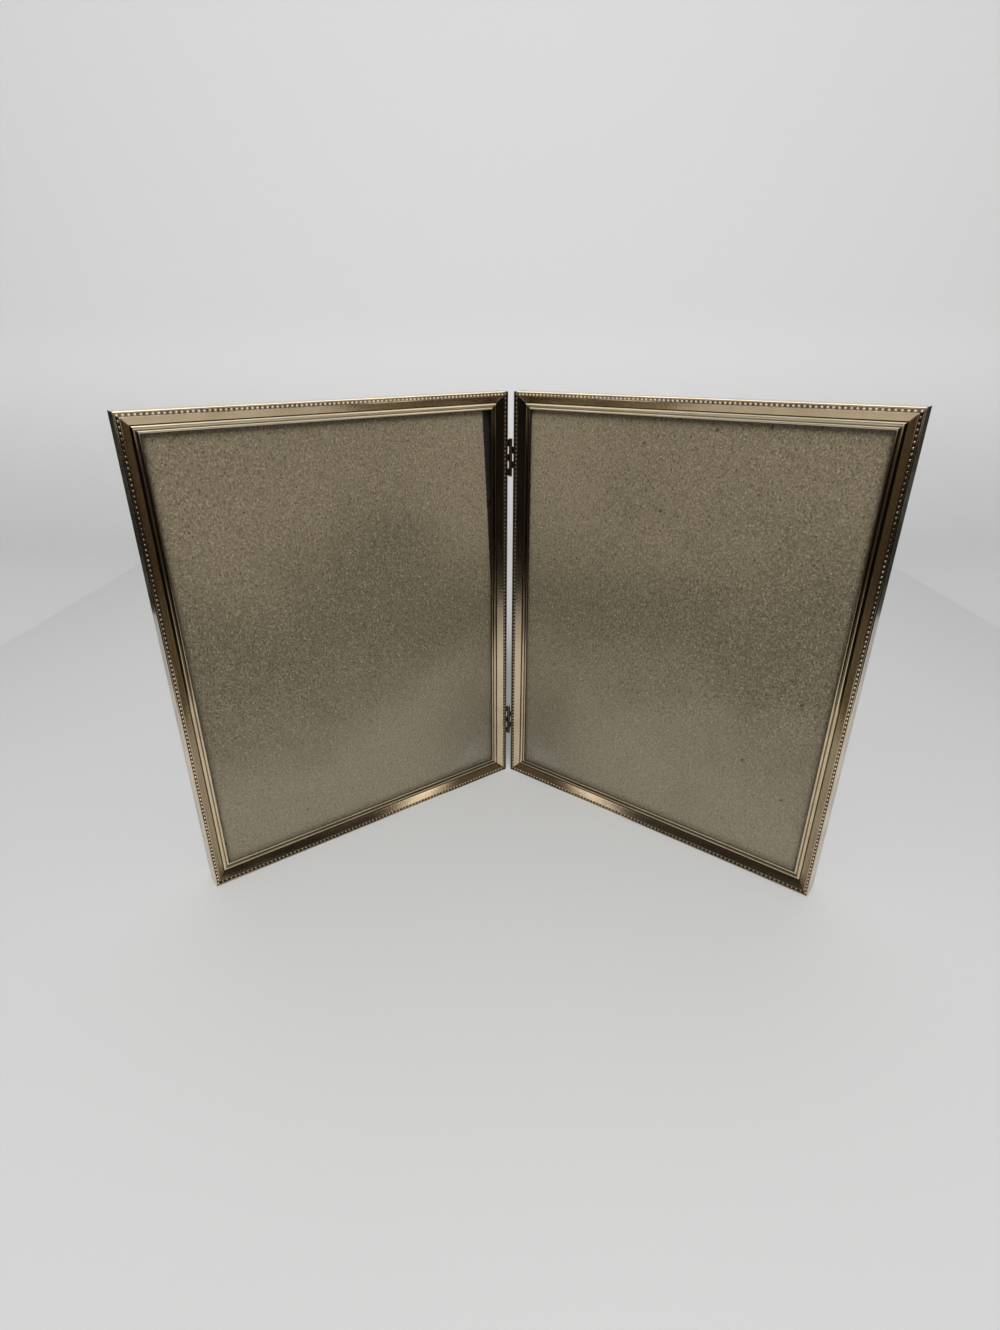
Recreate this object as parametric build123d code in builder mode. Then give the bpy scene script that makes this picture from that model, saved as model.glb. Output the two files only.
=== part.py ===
from build123d import *
from math import cos, radians, sin
import os

os.makedirs("parts", exist_ok=True)

# A double photo frame: two brass leaves joined like a book by two small butt hinges.
# Millimetres, +Z up. The V opens towards -Y, and the origin lies on the table, below
# the middle of the standing frame.

# Driving sizes
picture_width = 203.2
picture_height = 254.0
rebate_margin = 6.35
sheet_thickness = 0.7
glass_thickness = 2.0
board_thickness = 1.6
panel_thickness = 2.0
hinge_gap = 1.95
spread_degrees = 105.6

# Clearances
fit_gap = 0.05
mitre_gap = 0.04

# Moulding, from the outer face inwards
rim_width = 0.9
channel_width = 1.4
ridge_width = 0.3
band_width = 3.6
quirk_width = 0.2
torus_width = 2.0
groove_width = 0.3
lip_width = 1.5
hem_width = 3.0

# Moulding, from the crest of the rim backwards
channel_depth = 1.0
ridge_drop = 0.7
band_fall = 2.6
band_hollow = 0.1
quirk_drop = 0.3
torus_rise = 0.7
groove_drop = 0.4
lip_rise = 0.5

# Turn buttons that hold the back in
button_thickness = 0.6
button_back_clearance = 0.2

# What follows from the sizes above
leaf_width = picture_width + 2 * rebate_margin
leaf_height = picture_height + 2 * rebate_margin
torus_foot = ridge_drop + band_fall + quirk_drop
groove_floor = torus_foot + groove_drop
glass_front = groove_floor + sheet_thickness + fit_gap
board_front = glass_front + glass_thickness + fit_gap
panel_front = board_front + board_thickness + fit_gap
button_front = panel_front + panel_thickness + fit_gap
frame_depth = button_front + button_thickness + button_back_clearance + sheet_thickness

# Each leaf is swung forwards from straight across by this angle
swing = radians((180 - spread_degrees) / 2)
front_reach = (hinge_gap + leaf_width) * sin(swing)
back_reach = frame_depth * cos(swing) - hinge_gap * sin(swing)
hinge_y = (front_reach - back_reach) / 2

SIDES = {"left": -1, "right": 1}


def leaf_plane(side):
    """A leaf's front plane: origin at the foot of its middle, x across, y up, z out of the front."""
    across = Vector(cos(swing), -side * sin(swing), 0)
    outwards = Vector(-side * sin(swing), -cos(swing), 0)
    foot = Vector(0, hinge_y, 0) + across * side * (hinge_gap + leaf_width / 2)
    return Plane(origin=foot, x_dir=across, z_dir=outwards)


def point_on_leaf(leaf, across, up, depth):
    """The point so far across, up and behind a leaf's front plane."""
    return leaf.origin + leaf.x_dir * across + leaf.y_dir * up - leaf.z_dir * depth


def finish(piece, name):
    """Names a finished piece and writes its file."""
    piece.part.label = name
    export_step(piece.part, f"parts/{name}.step")


# Rivets and pin heads are small and many, so they and their holes are twelve-sided
rivet_sides = 12
rivet_bevel = 40.0


def rivets_on(planes, shank_radius, head_radius, head_height, grip):
    """Rivets that stand on the given planes: a clinched foot, a shank and a bevelled head."""
    with BuildPart() as group:
        with BuildSketch(*planes):
            RegularPolygon(head_radius, rivet_sides)
        extrude(amount=head_height)
        with BuildSketch(*[plane.offset(head_height) for plane in planes]):
            RegularPolygon(shank_radius, rivet_sides)
        extrude(amount=grip)
        with BuildSketch(*[plane.offset(head_height + grip) for plane in planes]):
            RegularPolygon(head_radius, rivet_sides)
        extrude(amount=head_height, taper=rivet_bevel)
    return group


# Places of the two hinges, which the rails are drilled for
hinge_height = 21.8
upper_hinge_drop = 38.4
lower_hinge_rise = 42.6
hinge_sheet = 0.4
hinge_rivet_radius = 0.8
hinge_rivet_head_radius = 1.5
hinge_rivet_head_height = 0.45
hinge_rivet_spacing = 10.6
hinge_rivet_depth = frame_depth / 2

HINGES = {"upper": leaf_height - upper_hinge_drop, "lower": lower_hinge_rise}
hinge_rivet_heights = [middle + end * hinge_rivet_spacing / 2
                       for middle in HINGES.values() for end in (-1, 1)]


# The moulding is sheet brass, rolled to a rim, a channel for the beading, a wide band
# that falls towards the glass, a half-round and a fine lip over the glass. Its outer wall
# turns in at the back as a narrow hem, which the turn buttons slip under.

def moulding_section(plane):
    """The moulding's section, x inwards from the outer face and y out of the front."""
    rim_round = rim_width / 2
    channel_end = rim_width + channel_width
    band_start = channel_end + ridge_width
    band_end = band_start + band_width
    band_foot = ridge_drop + band_fall
    torus_start = band_end + quirk_width
    torus_end = torus_start + torus_width
    lip_start = torus_end + groove_width
    lip_end = lip_start + lip_width
    seat = groove_floor + sheet_thickness
    slope = band_fall / band_width
    web = sheet_thickness * (1 + slope ** 2) ** 0.5
    channel_back = channel_depth + sheet_thickness
    web_start = band_start + (channel_back - ridge_drop - web) / slope
    web_back = ridge_drop + band_fall + web
    hem_face = frame_depth - sheet_thickness
    with BuildSketch(plane) as section:
        with BuildLine():
            Line((0, -frame_depth), (0, -rim_round))
            ThreePointArc((0, -rim_round), (rim_round, 0), (rim_width, -rim_round))
            Polyline((rim_width, -rim_round), (rim_width, -channel_depth),
                     (channel_end, -channel_depth), (channel_end, -ridge_drop),
                     (band_start, -ridge_drop))
            ThreePointArc((band_start, -ridge_drop),
                          ((band_start + band_end) / 2, -(ridge_drop + band_foot) / 2 - band_hollow),
                          (band_end, -band_foot))
            Polyline((band_end, -band_foot), (band_end, -torus_foot), (torus_start, -torus_foot))
            ThreePointArc((torus_start, -torus_foot),
                          (torus_start + torus_width / 2, torus_rise - torus_foot),
                          (torus_end, -torus_foot))
            Polyline((torus_end, -torus_foot), (torus_end, -groove_floor), (lip_start, -groove_floor))
            ThreePointArc((lip_start, -groove_floor),
                          (lip_start + lip_width / 2, lip_rise - groove_floor),
                          (lip_end, -groove_floor))
            Polyline((lip_end, -groove_floor), (lip_end, -seat), (band_end, -seat),
                     (band_end, -web_back), (web_start, -channel_back),
                     (sheet_thickness, -channel_back), (sheet_thickness, -hem_face),
                     (hem_width, -hem_face), (hem_width, -frame_depth), (0, -frame_depth))
        make_face()
    return section.sketch


def rail(leaf, edge_middle, inwards, length, hole_places=()):
    """One mitred length of moulding along an edge of a leaf. Its outer wall has rivet holes
    at the given places up and down from the edge's middle."""
    along = inwards.cross(leaf.z_dir)
    section = moulding_section(Plane(origin=edge_middle, x_dir=inwards, z_dir=along))
    with BuildPart() as piece:
        extrude(section, amount=length / 2, both=True)
        for end in (-1, 1):
            corner = edge_middle + along * end * (length / 2 - mitre_gap / 2)
            split(bisect_by=Plane(origin=corner, z_dir=along * end + inwards), keep=Keep.BOTTOM)
        if hole_places:
            wall_middle = edge_middle - leaf.z_dir * hinge_rivet_depth
            with BuildSketch(Plane(origin=wall_middle, x_dir=leaf.y_dir, z_dir=inwards)):
                with Locations([(place, 0) for place in hole_places]):
                    RegularPolygon(hinge_rivet_radius + fit_gap, rivet_sides)
            extrude(amount=sheet_thickness, mode=Mode.SUBTRACT)
    return piece


for leaf_name, side in SIDES.items():
    leaf = leaf_plane(side)
    half_width = leaf_width / 2
    half_height = leaf_height / 2
    left_middle = point_on_leaf(leaf, -half_width, half_height, 0)
    right_middle = point_on_leaf(leaf, half_width, half_height, 0)
    drilled = [height - half_height for height in hinge_rivet_heights]
    finish(rail(leaf, point_on_leaf(leaf, 0, 0, 0), leaf.y_dir, leaf_width),
           f"{leaf_name}_bottom_rail")
    finish(rail(leaf, point_on_leaf(leaf, 0, leaf_height, 0), leaf.y_dir * -1, leaf_width),
           f"{leaf_name}_top_rail")
    if side < 0:
        finish(rail(leaf, left_middle, leaf.x_dir, leaf_height), "left_outer_rail")
        finish(rail(leaf, right_middle, leaf.x_dir * -1, leaf_height, drilled), "left_hinge_rail")
    else:
        finish(rail(leaf, left_middle, leaf.x_dir, leaf_height, drilled), "right_hinge_rail")
        finish(rail(leaf, right_middle, leaf.x_dir * -1, leaf_height), "right_outer_rail")


# Corner keys: L-shaped pieces that join the mitred rails from inside the channel. They
# lie between the moulding's wall and the edges of the glass and the board.
key_leg = 26.0
key_bevel = 0.8
key_clearance = 0.15


def corner_key(leaf, across_sign, up_sign):
    """A key in one corner of a leaf."""
    outside = sheet_thickness + key_clearance
    inside = rebate_margin - key_clearance
    end = outside + key_leg
    outline = [(outside, outside), (end, outside), (end, inside), (inside, inside),
               (inside, end), (outside, end)]
    corner = point_on_leaf(leaf, across_sign * leaf_width / 2,
                           (1 - up_sign) * leaf_height / 2, glass_front)
    with BuildPart() as piece:
        with BuildSketch(Plane(origin=corner, x_dir=leaf.x_dir, z_dir=leaf.z_dir)) as flat:
            with BuildLine():
                Polyline([(-across_sign * x, up_sign * y) for x, y in outline], close=True)
            make_face()
            chamfer(flat.vertices().sort_by_distance((0, 0, 0))[-4:], length=key_bevel)
        extrude(amount=glass_front + fit_gap - panel_front)
    return piece


for leaf_name, side in SIDES.items():
    for place_name, across_sign in (("hinge", -side), ("outer", side)):
        for up_name, up_sign in (("lower", 1), ("upper", -1)):
            finish(corner_key(leaf_plane(side), across_sign, up_sign),
                   f"{leaf_name}_{up_name}_{place_name}_key")


# Glass: a plain pane the size of the picture, with its edges just broken
glass_clearance = 0.1
glass_edge_break = 0.25

for leaf_name, side in SIDES.items():
    with BuildPart() as glass:
        with BuildSketch(leaf_plane(side).offset(-glass_front)):
            with Locations((0, leaf_height / 2)):
                Rectangle(picture_width - 2 * glass_clearance, picture_height - 2 * glass_clearance)
        extrude(amount=-glass_thickness)
        chamfer(glass.edges(), length=glass_edge_break)
    finish(glass, f"{leaf_name}_glass")


# Chipboard: a grey pasteboard behind each pane. The left one was trimmed by hand along
# the upper part of its hinge side, so the dark back shows beside it there.
board_clearance = 0.4
left_trim_width = 8.0
left_trim_length = 148.5

for leaf_name, side in SIDES.items():
    half_board = picture_width / 2 - board_clearance
    low = rebate_margin + board_clearance
    high = leaf_height - low
    if leaf_name == "left":
        hinge_edge = [(half_board, low), (half_board, high - left_trim_length),
                      (half_board - left_trim_width, high)]
    else:
        hinge_edge = [(half_board, low), (half_board, high)]
    with BuildPart() as board:
        with BuildSketch(leaf_plane(side).offset(-board_front)):
            with BuildLine():
                Polyline([*hinge_edge, (-half_board, high), (-half_board, low)], close=True)
            make_face()
        extrude(amount=-board_thickness)
    finish(board, f"{leaf_name}_board")


# Back panel: a thin black board that drops in through the hems. Two turn buttons near
# each long side hold it, each on a rivet that is clinched flush in the panel's front.
panel_clearance = 0.25
panel_bevel = 1.6
button_inset = 5.5
button_grip = 1.7
button_boss_radius = 3.2
button_tip_radius = 2.0
button_tail_radius = 1.6
button_tail_reach = 4.4
button_tab_height = 0.5
button_tab_width = 0.6
button_rivet_radius = 1.25
button_rivet_head_radius = 2.2
button_rivet_head_height = 0.5
clinch_room = 0.2
button_height_shares = {"lower": 0.25, "upper": 0.75}


def button_places(side):
    """Each button's name, its place across and up the leaf, and the way that it points."""
    across = leaf_width / 2 - hem_width - panel_clearance - button_inset
    return [(f"{up_name}_{place_name}", sign * across, share * leaf_height, sign)
            for place_name, sign in (("hinge", -side), ("outer", side))
            for up_name, share in button_height_shares.items()]


def turn_button(leaf, across, up, sign):
    """A flat button whose tip lies under the hem, with a small thumb tab on its tail."""
    flat = Plane(origin=point_on_leaf(leaf, across, up, button_front),
                 x_dir=leaf.x_dir * sign, z_dir=leaf.z_dir * -1)
    reach = panel_clearance + button_inset + button_grip
    with BuildPart() as piece:
        with BuildSketch(flat):
            Circle(button_boss_radius)
            with Locations((reach - button_tip_radius, 0)):
                Circle(button_tip_radius)
            with Locations((button_tail_radius - button_tail_reach, 0)):
                Circle(button_tail_radius)
            make_hull()
            Circle(button_rivet_radius + fit_gap, mode=Mode.SUBTRACT)
        extrude(amount=button_thickness)
        with BuildSketch(flat.offset(button_thickness)):
            with Locations((button_tab_width - button_tail_reach, 0)):
                Rectangle(button_tab_width, button_tail_radius)
        extrude(amount=button_tab_height)
    return piece


for leaf_name, side in SIDES.items():
    leaf = leaf_plane(side)
    places = button_places(side)

    with BuildPart() as panel:
        with BuildSketch(leaf.offset(-panel_front)) as flat:
            with Locations((0, leaf_height / 2)):
                Rectangle(leaf_width - 2 * (hem_width + panel_clearance),
                          leaf_height - 2 * (hem_width + panel_clearance))
            chamfer(flat.vertices(), length=panel_bevel)
        extrude(amount=-panel_thickness)
        for radius, depth in ((button_rivet_head_radius + clinch_room,
                               button_rivet_head_height + fit_gap),
                              (button_rivet_radius + fit_gap, panel_thickness)):
            with BuildSketch(leaf.offset(-panel_front)):
                with Locations([(across, up) for _, across, up, _ in places]):
                    RegularPolygon(radius, rivet_sides)
            extrude(amount=-depth, mode=Mode.SUBTRACT)
    finish(panel, f"{leaf_name}_back_panel")

    feet = [Plane(origin=point_on_leaf(leaf, across, up, panel_front + fit_gap),
                  x_dir=leaf.x_dir, z_dir=leaf.z_dir * -1) for _, across, up, _ in places]
    grip = panel_thickness + button_thickness + fit_gap - button_rivet_head_height
    finish(rivets_on(feet, button_rivet_radius, button_rivet_head_radius,
                     button_rivet_head_height, grip), f"{leaf_name}_button_rivets")

    for place_name, across, up, sign in places:
        finish(turn_button(leaf, across, up, sign), f"{leaf_name}_{place_name}_button")


# Hinges: each plate lies on a leaf's outer wall, runs forwards and wraps a thin pin at the
# front plane. The left leaf has knuckles one, three and five, the right one two and four.
knuckle_count = 5
knuckle_gap = 0.1
pin_radius = 0.65
pin_head_height = 0.4
plate_end_margin = 1.7
plate_corner = 1.2
plate_notch = 0.55

bore_radius = pin_radius + fit_gap
barrel_radius = bore_radius + hinge_sheet


def knuckle_plane(side, low, height):
    """A level plane on the hinge axis, x out along the leaf and y towards its back, from
    which an extrusion by the height fills the room from low to low + height."""
    along = Vector(side * cos(swing), -sin(swing), 0)
    start = low if side > 0 else low + height
    return Plane(origin=(0, hinge_y, start), x_dir=along, z_dir=(0, 0, side))


def hinge_plate(side, middle):
    """One leaf's half of a hinge: a plate on the wall, with its straps and knuckles."""
    leaf = leaf_plane(side)
    wall = Plane(origin=point_on_leaf(leaf, -side * leaf_width / 2, middle, 0),
                 x_dir=leaf.z_dir * -1, z_dir=leaf.x_dir * -side)
    plate_front = barrel_radius + plate_notch
    plate_back = frame_depth - plate_end_margin
    pitch = hinge_height / knuckle_count
    first = 0 if side < 0 else 1
    with BuildPart() as piece:
        with BuildSketch(wall) as flat:
            with Locations((plate_front, 0)):
                Rectangle(plate_back - plate_front, hinge_height, align=(Align.MIN, Align.CENTER))
            fillet(flat.vertices().sort_by(Axis.X)[-2:], radius=plate_corner)
            with Locations((hinge_rivet_depth, -hinge_rivet_spacing / 2),
                           (hinge_rivet_depth, hinge_rivet_spacing / 2)):
                RegularPolygon(hinge_rivet_radius + fit_gap, rivet_sides, mode=Mode.SUBTRACT)
        extrude(amount=hinge_sheet)
        for index in range(first, knuckle_count, 2):
            low = middle - hinge_height / 2 + index * pitch + knuckle_gap / 2
            height = pitch - knuckle_gap
            with BuildSketch(knuckle_plane(side, low, height)):
                with Locations((0, bore_radius)):
                    Rectangle(hinge_gap, hinge_sheet, align=Align.MIN)
                with Locations((hinge_gap - hinge_sheet, bore_radius)):
                    Rectangle(hinge_sheet, 2 * hinge_sheet + plate_notch, align=Align.MIN)
                Circle(barrel_radius)
                Circle(bore_radius, mode=Mode.SUBTRACT)
            extrude(amount=height)
    return piece


for hinge_name, middle in HINGES.items():
    for leaf_name, side in SIDES.items():
        finish(hinge_plate(side, middle), f"{hinge_name}_hinge_{leaf_name}_plate")
    pin_low = middle - hinge_height / 2 - fit_gap
    pin_high = middle + hinge_height / 2 + fit_gap
    with BuildPart() as pin:
        with BuildSketch(Plane(origin=(0, hinge_y, pin_low))):
            Circle(pin_radius)
        extrude(amount=pin_high - pin_low)
        for head_low in (pin_low - pin_head_height, pin_high):
            with BuildSketch(Plane(origin=(0, hinge_y, head_low))):
                RegularPolygon(barrel_radius, rivet_sides)
            extrude(amount=pin_head_height)
    finish(pin, f"{hinge_name}_hinge_pin")


# Hinge rivets: four on each leaf, headed over the plates and clinched inside the rail
for leaf_name, side in SIDES.items():
    leaf = leaf_plane(side)
    inset = sheet_thickness + fit_gap + hinge_rivet_head_height
    feet = [Plane(origin=point_on_leaf(leaf, side * (inset - leaf_width / 2), height,
                                       hinge_rivet_depth),
                  x_dir=leaf.y_dir, z_dir=leaf.x_dir * -side) for height in hinge_rivet_heights]
    grip = sheet_thickness + hinge_sheet + 2 * fit_gap
    finish(rivets_on(feet, hinge_rivet_radius, hinge_rivet_head_radius,
                     hinge_rivet_head_height, grip), f"{leaf_name}_hinge_rivets")
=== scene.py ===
"""A hinged double photo frame in gold-toned brass moulding, standing open like a book."""
import math

import bpy
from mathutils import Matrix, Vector


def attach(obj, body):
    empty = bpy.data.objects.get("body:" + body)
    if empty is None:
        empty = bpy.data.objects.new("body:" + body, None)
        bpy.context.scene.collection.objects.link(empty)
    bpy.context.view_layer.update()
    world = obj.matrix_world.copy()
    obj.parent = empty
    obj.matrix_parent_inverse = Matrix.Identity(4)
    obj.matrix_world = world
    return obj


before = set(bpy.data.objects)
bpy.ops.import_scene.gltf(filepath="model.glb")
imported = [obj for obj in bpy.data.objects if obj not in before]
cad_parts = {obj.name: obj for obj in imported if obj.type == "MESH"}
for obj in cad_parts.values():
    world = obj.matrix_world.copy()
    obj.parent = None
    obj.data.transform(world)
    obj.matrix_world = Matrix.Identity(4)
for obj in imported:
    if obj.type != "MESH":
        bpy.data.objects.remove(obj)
bpy.context.view_layer.update()


# Camera
# The photograph was taken from just above the top rails, close in front of the open leaves,
# with a wide lens that makes the two upright outer rails lean outwards.

camera_place = (-0.0014016, -0.3842105, 0.2916245)
camera_turn_degrees = (65.0322, 0.4413, 1.8145)
lens_millimetres, sensor_millimetres = 18.751, 36.0
shift_across, shift_up = 0.01145, 0.0022
nearest_seen = 0.01
bpy.ops.object.camera_add(
    location=camera_place,
    rotation=tuple(math.radians(turn) for turn in camera_turn_degrees))
camera = bpy.context.object
camera.name = "photo_camera"
camera.data.lens = lens_millimetres
camera.data.sensor_width = sensor_millimetres
camera.data.shift_x, camera.data.shift_y = shift_across, shift_up
camera.data.clip_start = nearest_seen
bpy.context.scene.camera = camera
bpy.context.scene.view_settings.view_transform = "Standard"


# Studio
# A sheet of white card lies flat and sweeps up behind the frame. The room above is bright,
# and where the viewer stands it is dark, which the polished metal mirrors.

card_front, card_back, card_height, card_half_width = -0.31, 1.05, 1.1, 1.9
sweep_radius, sweep_steps = 0.35, 24
near_back, near_floor = 0.9, 0.01


def set_sockets(tree, inputs, values):
    """Sets each named or numbered input to its value, or joins it to its node's output."""
    for socket, value in values.items():
        if isinstance(value, bpy.types.NodeSocket):
            tree.links.new(value, inputs[socket])
        else:
            inputs[socket].default_value = value


def add_node(tree, kind, sockets=None, **options):
    """Adds a shader node, sets its options, and sets or joins its sockets."""
    made = tree.nodes.new("ShaderNode" + kind)
    for option, value in options.items():
        setattr(made, option, value)
    set_sockets(tree, made.inputs, sockets or {})
    return made


def calculate(tree, operation, *values):
    """Adds a Math node and gives back its result."""
    return add_node(tree, "Math", dict(enumerate(values)), operation=operation).outputs[0]


def fade(tree, value, low, high, to_low=0.0, to_high=1.0):
    """Gives a smooth step from to_low to to_high as value goes from low to high."""
    sockets = {"Value": value, "From Min": low, "From Max": high,
               "To Min": to_low, "To Max": to_high}
    return add_node(tree, "MapRange", sockets, interpolation_type="SMOOTHSTEP").outputs[0]


def mix_colours(tree, factor, first, second):
    """Adds a colour Mix node and gives back its result."""
    # A Mix node takes colours at its inputs 6 and 7 and gives one at its output 2.
    made = add_node(tree, "Mix", data_type="RGBA", blend_type="MIX")
    set_sockets(tree, made.inputs, {0: factor, 6: first, 7: second})
    return made.outputs[2]


def new_material(name):
    """Makes a material and gives back its nodes' tree and its Principled shader."""
    material = bpy.data.materials.new(name)
    material.use_nodes = True
    return material, material.node_tree, material.node_tree.nodes["Principled BSDF"]


bpy.ops.object.select_all(action="DESELECT")
bpy.ops.mesh.primitive_plane_add(size=1.0, location=(0.0, 0.0, 0.0))
card = bpy.context.object
card.name = "white_card"
bpy.ops.object.mode_set(mode="EDIT")
bpy.ops.mesh.select_all(action="SELECT")
bpy.ops.transform.resize(value=(2 * card_half_width, card_back - card_front, 1.0))
bpy.ops.transform.translate(value=(0.0, (card_back + card_front) / 2, 0.0))
bpy.ops.mesh.select_all(action="DESELECT")
bpy.ops.object.mode_set(mode="OBJECT")
for edge in card.data.edges:
    edge.select = all(card.data.vertices[v].co.y > near_back for v in edge.vertices)
bpy.ops.object.mode_set(mode="EDIT")
bpy.ops.mesh.select_mode(type="EDGE")
bpy.ops.mesh.extrude_region_move(TRANSFORM_OT_translate={"value": (0.0, 0.0, card_height)})
bpy.ops.mesh.select_all(action="DESELECT")
bpy.ops.object.mode_set(mode="OBJECT")
for edge in card.data.edges:
    ends = [card.data.vertices[v].co for v in edge.vertices]
    edge.select = all(end.y > near_back and end.z < near_floor for end in ends)
bpy.ops.object.mode_set(mode="EDIT")
bpy.ops.mesh.bevel(offset=sweep_radius, segments=sweep_steps, affect="EDGES")
bpy.ops.object.mode_set(mode="OBJECT")
bpy.ops.object.shade_smooth()

card_material, tree, shader = new_material("white_card")
grey_card, pale_card = (0.57, 0.575, 0.575, 1.0), (0.63, 0.635, 0.635, 1.0)
card_upright_lit = (0.78, 0.785, 0.78, 1.0)
place = add_node(tree, "TexCoord").outputs["Object"]
cloud = add_node(tree, "TexNoise", {"Vector": place, "Scale": 1.6, "Detail": 2.0}).outputs["Fac"]
tone = mix_colours(tree, cloud, grey_card, pale_card)
rise = add_node(tree, "SeparateXYZ", {"Vector": place}).outputs[2]
# The card is painted lighter as it rises, up to 0.30 m: painted light for the brighter backdrop.
tone = mix_colours(tree, fade(tree, rise, 0.0, 0.30), tone, card_upright_lit)
tooth = add_node(tree, "TexNoise", {"Vector": place, "Scale": 900.0}).outputs["Fac"]
grain = add_node(tree, "Bump", {"Height": tooth, "Strength": 0.15, "Distance": 0.0002})
set_sockets(tree, shader.inputs, {"Base Color": tone, "Roughness": 0.6,
                                  "Normal": grain.outputs[0]})
card.data.materials.append(card_material)

# What the metal mirrors of the room: pale mottled panels beside the frame, a soft ceiling
# with a bright light overhead, and the dark shape of the viewer in front.
room_grey, plain_backdrop = (0.26, 0.26, 0.26, 1.0), (0.66, 0.66, 0.65, 1.0)
panel_dim, panel_bright = (1.00, 1.00, 0.99, 1.0), (1.35, 1.33, 1.28, 1.0)
ceiling, overhead_light = (0.90, 0.88, 0.85, 1.0), (2.6, 2.52, 2.38, 1.0)
below_table, viewer_dark = (0.05, 0.046, 0.042, 1.0), (0.010, 0.009, 0.009, 1.0)
overhead_up, overhead_on = 0.94, 0.34
world = bpy.data.worlds.new("room")
bpy.context.scene.world = world
world.use_nodes = True
tree = world.node_tree
tree.nodes.clear()
direction = add_node(tree, "TexCoord").outputs["Generated"]
sideways, onwards, upwards = add_node(tree, "SeparateXYZ", {"Vector": direction}).outputs
level = calculate(tree, "SQRT", calculate(
    tree, "ADD", calculate(tree, "MULTIPLY", sideways, sideways),
    calculate(tree, "MULTIPLY", onwards, onwards)))
towards_viewer = calculate(tree, "DIVIDE", calculate(tree, "MULTIPLY", onwards, -1.0),
                           calculate(tree, "MAXIMUM", level, 0.001))
in_front = calculate(tree, "MULTIPLY", fade(tree, towards_viewer, 0.76, 0.86),
                     fade(tree, upwards, 0.90, 0.78))
beside = calculate(tree, "MULTIPLY", fade(tree, towards_viewer, -0.35, -0.10),
                   fade(tree, upwards, -0.11, -0.09))
overhead = calculate(tree, "ADD", calculate(tree, "MULTIPLY", upwards, overhead_up),
                     calculate(tree, "MULTIPLY", onwards, overhead_on))
blotches = add_node(tree, "TexNoise", {"Vector": direction, "Scale": 7.0,
                                       "Detail": 3.0}).outputs["Fac"]
panels = mix_colours(tree, fade(tree, blotches, 0.38, 0.62), panel_dim, panel_bright)
room = mix_colours(tree, beside, room_grey, panels)
room = mix_colours(tree, fade(tree, upwards, 0.45, 0.80), room, ceiling)
room = mix_colours(tree, fade(tree, upwards, -0.09, -0.11), room, below_table)
room = mix_colours(tree, in_front, room, viewer_dark)
room = mix_colours(tree, fade(tree, overhead, 0.80, 0.90), room, overhead_light)
rays = add_node(tree, "LightPath").outputs
room = mix_colours(tree, rays["Is Diffuse Ray"], room, room_grey)
lit = add_node(tree, "Background", {"Color": room, "Strength": 1.0}).outputs[0]
seen = add_node(tree, "Background", {"Color": plain_backdrop, "Strength": 1.0}).outputs[0]
either = add_node(tree, "MixShader", {0: rays["Is Camera Ray"], 1: lit, 2: seen}).outputs[0]
add_node(tree, "OutputWorld", {"Surface": either})

# Two big soft lamps hang in front: a far one that lights the sheet and the boards, and a
# near one that only the polished metal shows. Both point at the leaves' lower middle.
lamp_aim = Vector((0.0, 0.0, 0.1))
for name, spot, width, power, mirrored in (
        ("far_lamp", (0.0, -1.80, 1.90), 1.4, 64.0, False),
        ("near_lamp", (0.10, -0.72, 1.10), 1.0, 5.0, True)):
    bpy.ops.object.light_add(type="AREA", location=spot)
    lamp = bpy.context.object
    lamp.name = name
    lamp.data.shape = "DISK"
    lamp.data.size = width
    lamp.data.energy = power
    lamp.rotation_euler = (Vector(spot) - lamp_aim).to_track_quat("Z", "Y").to_euler()
    lamp.visible_glossy, lamp.visible_diffuse = mirrored, not mirrored

# Dark mottled screens stand to the left and right, out of the picture: tall ones behind the
# frame, low ones before it, and two that hang beside the viewer. Only the metal shows them.
screen_cloth, tree, shader = new_material("screen_cloth")
fold_dark, fold_pale = (0.016, 0.014, 0.012, 1.0), (0.15, 0.14, 0.125, 1.0)
place = add_node(tree, "TexCoord").outputs["Object"]
folds = add_node(tree, "TexNoise", {"Vector": place, "Scale": 9.0, "Detail": 6.0,
                                    "Roughness": 0.7}).outputs["Fac"]
colour = mix_colours(tree, fade(tree, folds, 0.42, 0.62), fold_dark, fold_pale)
set_sockets(tree, shader.inputs, {"Base Color": colour, "Roughness": 0.9})
# Each screen's kind, how far aside it stands, its front and back edges, and its heights.
screens = (
    ("back_screen", 0.55, -0.03, 0.87, 0.0, 0.26),
    ("front_screen", 0.45, -0.85, -0.03, 0.0, 0.17),
    ("hanging_screen", 0.32, -0.80, -0.19, 0.225, 0.62),
)
for side, name, (kind, aside, front, back, low, high) in (
        (side, name, screen) for side, name in ((-1, "left"), (1, "right")) for screen in screens):
    bpy.ops.object.select_all(action="DESELECT")
    bpy.ops.mesh.primitive_plane_add(
        size=1.0, location=(side * aside, (front + back) / 2, (low + high) / 2),
        rotation=(0.0, math.pi / 2, 0.0))
    screen = bpy.context.object
    screen.name = f"{name}_{kind}"
    screen.scale = (high - low, back - front, 1.0)
    bpy.ops.object.transform_apply(location=True, rotation=True, scale=True)
    screen.data.materials.append(screen_cloth)
    screen.visible_camera = screen.visible_diffuse = screen.visible_shadow = False
    screen.visible_transmission = False


# Brass moulding
# Eight mitred lengths of thin brass-plated sheet, rolled to a channel, a sloping satin band,
# a half round and a flat lip, with a hem behind. The grooves are darkened, and painted shade and a
# painted highlight lie on parts.

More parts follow.
